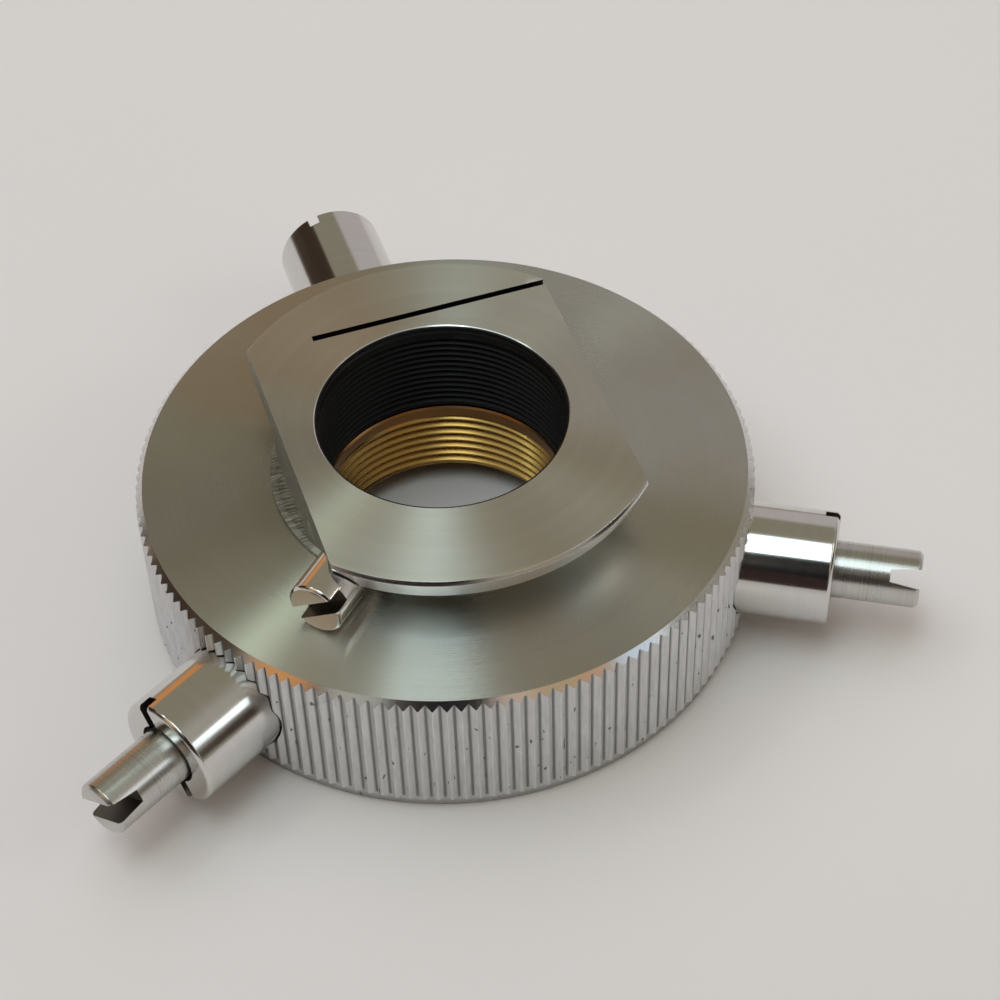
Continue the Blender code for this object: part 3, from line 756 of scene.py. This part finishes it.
def panel(name, azimuth, elevation, distance, width, height, colour, radiance, turn=0.0):
    """A soft box that faces the object; radiance is what it looks like in a mirror."""
    data = bpy.data.lights.new(name, "AREA")
    data.shape = "RECTANGLE"
    data.size = width
    data.size_y = height
    data.color = colour
    data.energy = radiance * math.pi * width * height
    light = bpy.data.objects.new(name, data)
    light.matrix_world = (facing_in(compass(azimuth, elevation), distance)
                          @ Matrix.Rotation(math.radians(turn), 4, "Z"))
    light.visible_camera = False
    bpy.context.scene.collection.objects.link(light)
    return light


ZENITH, HORIZON = (0.42, 0.40, 0.35), (0.30, 0.275, 0.22)
BACKDROP = (0.62, 0.59, 0.57)
DARK_WOOD = (0.045, 0.028, 0.018)
LAMP_GLOW = (0.66, 0.28, 0.09)

# Round patches of the room: azimuth, elevation, where the full colour ends and where it has
# faded out, in degrees from the patch's middle, and its colour. Later ones lie on earlier ones.
ROOM_PATCHES = [
    (0, 90, 10, 80, ZENITH),
    (190, 70, 8, 34, (0.90, 1.00, 0.95)),
    (75, 45, 25, 60, (0.27, 0.245, 0.18)),
    (46, 22, 20, 26, (0.50, 0.46, 0.45)),
    (128, 28, 14, 17, DARK_WOOD),
    (138, 10, 9, 12, DARK_WOOD),
    (152, 18, 12, 15, (0.040, 0.022, 0.012)),
    (171, 24, 8, 11, (0.045, 0.024, 0.013)),
    (141, 0, 3, 5, (0.60, 0.42, 0.26)),
    (86, 15, 7, 9, LAMP_GLOW),
    (97, 15, 7, 9, LAMP_GLOW),
    (235, 20, 16, 40, (0.035, 0.022, 0.020)),
    (331, 12, 10, 13, (0.030, 0.014, 0.012)),
    (289, 40, 8, 14, (0.50, 0.38, 0.22)),
    (274, 42, 3, 8, (0.78, 0.60, 0.48)),
    (303, 37, 4, 9, (0.62, 0.36, 0.20)),
    (317, 33, 5, 9, (0.75, 0.90, 1.05)),
    (219, 39, 8, 11, (0.50, 0.50, 0.46)),
    (193, 35, 9, 11, (0.75, 0.34, 0.10)),
]


def make_world():
    """A dim warm room with soft patches, which the bright metal reflects."""
    world = bpy.data.worlds.new("room")
    bpy.context.scene.world = world
    world.use_nodes = True
    tree = world.node_tree
    background = tree.nodes["Background"]
    coords = tree.nodes.new("ShaderNodeTexCoord")

    def mixed(share, below, above):
        """Mix a colour over another colour, or over what a socket gives."""
        mix = tree.nodes.new("ShaderNodeMix")
        mix.data_type = "RGBA"
        tree.links.new(share, mix.inputs["Factor"])
        if isinstance(below, tuple):
            mix.inputs[6].default_value = (*below, 1.0)
        else:
            tree.links.new(below, mix.inputs[6])
        mix.inputs[7].default_value = (*above, 1.0)
        return mix.outputs[2]

    shade = HORIZON
    for azimuth, elevation, inner, outer, colour in ROOM_PATCHES:
        dot = tree.nodes.new("ShaderNodeVectorMath")
        dot.operation = "DOT_PRODUCT"
        dot.inputs[1].default_value = compass(azimuth, elevation)
        tree.links.new(coords.outputs["Generated"], dot.inputs[0])
        share = tree.nodes.new("ShaderNodeMapRange")
        share.interpolation_type = "SMOOTHSTEP"
        share.inputs["From Min"].default_value = math.cos(math.radians(outer))
        share.inputs["From Max"].default_value = math.cos(math.radians(inner))
        tree.links.new(dot.outputs["Value"], share.inputs["Value"])
        shade = mixed(share.outputs["Result"], shade, colour)

    # Seen straight from the camera, the room is a plain pale backdrop.
    ray = tree.nodes.new("ShaderNodeLightPath")
    shade = mixed(ray.outputs["Is Camera Ray"], shade, BACKDROP)
    tree.links.new(shade, background.inputs["Color"])
    background.inputs["Strength"].default_value = 1.0


def make_lights():
    panel("overhead_panel", 232, 76, 0.62, 0.16, 0.46, (0.78, 0.96, 1.0), 2.3, turn=15)
    panel("side_strip", 141, 60, 0.62, 0.30, 0.06, (0.80, 1.0, 0.86), 2.3, turn=-22)
    panel("window_left", 328, 33, 0.60, 0.12, 0.14, (0.86, 0.96, 1.0), 1.6)
    panel("window_right", 341, 33, 0.60, 0.15, 0.17, (1.0, 0.99, 0.92), 2.0)
    fill = panel("fill", 115, 66, 1.3, 1.6, 1.6, (0.84, 0.84, 0.98), 1.05)
    fill.visible_glossy = False


def make_flag():
    """A black card behind the camera, which the bright metal reflects as its darkest band."""
    width, height = 0.075, 0.15
    bm = bmesh.new()
    bmesh.ops.create_grid(bm, x_segments=1, y_segments=1, size=0.5)
    bmesh.ops.scale(bm, verts=bm.verts, vec=(width, height, 1))
    flag = new_object("black_flag", bm)
    flag.matrix_world = facing_in(compass(252.5, 41), 0.235)
    flag.data.materials.append(BLACK)
    flag.visible_camera = False


make_camera()
make_housing()
make_flange()
make_sleeve()
make_ring()
make_barrel("left", LEFT, BARREL_END)
make_barrel("right", RIGHT, BARREL_END)
make_barrel("plunger", REAR, REAR_END)
make_screw("left", LEFT)
make_screw("right", RIGHT)
make_lock()
dress_inner_nodes()
make_floor()
make_world()
make_lights()
make_flag()
bpy.context.scene.view_settings.view_transform = "Standard"

bpy.context.view_layer.update()
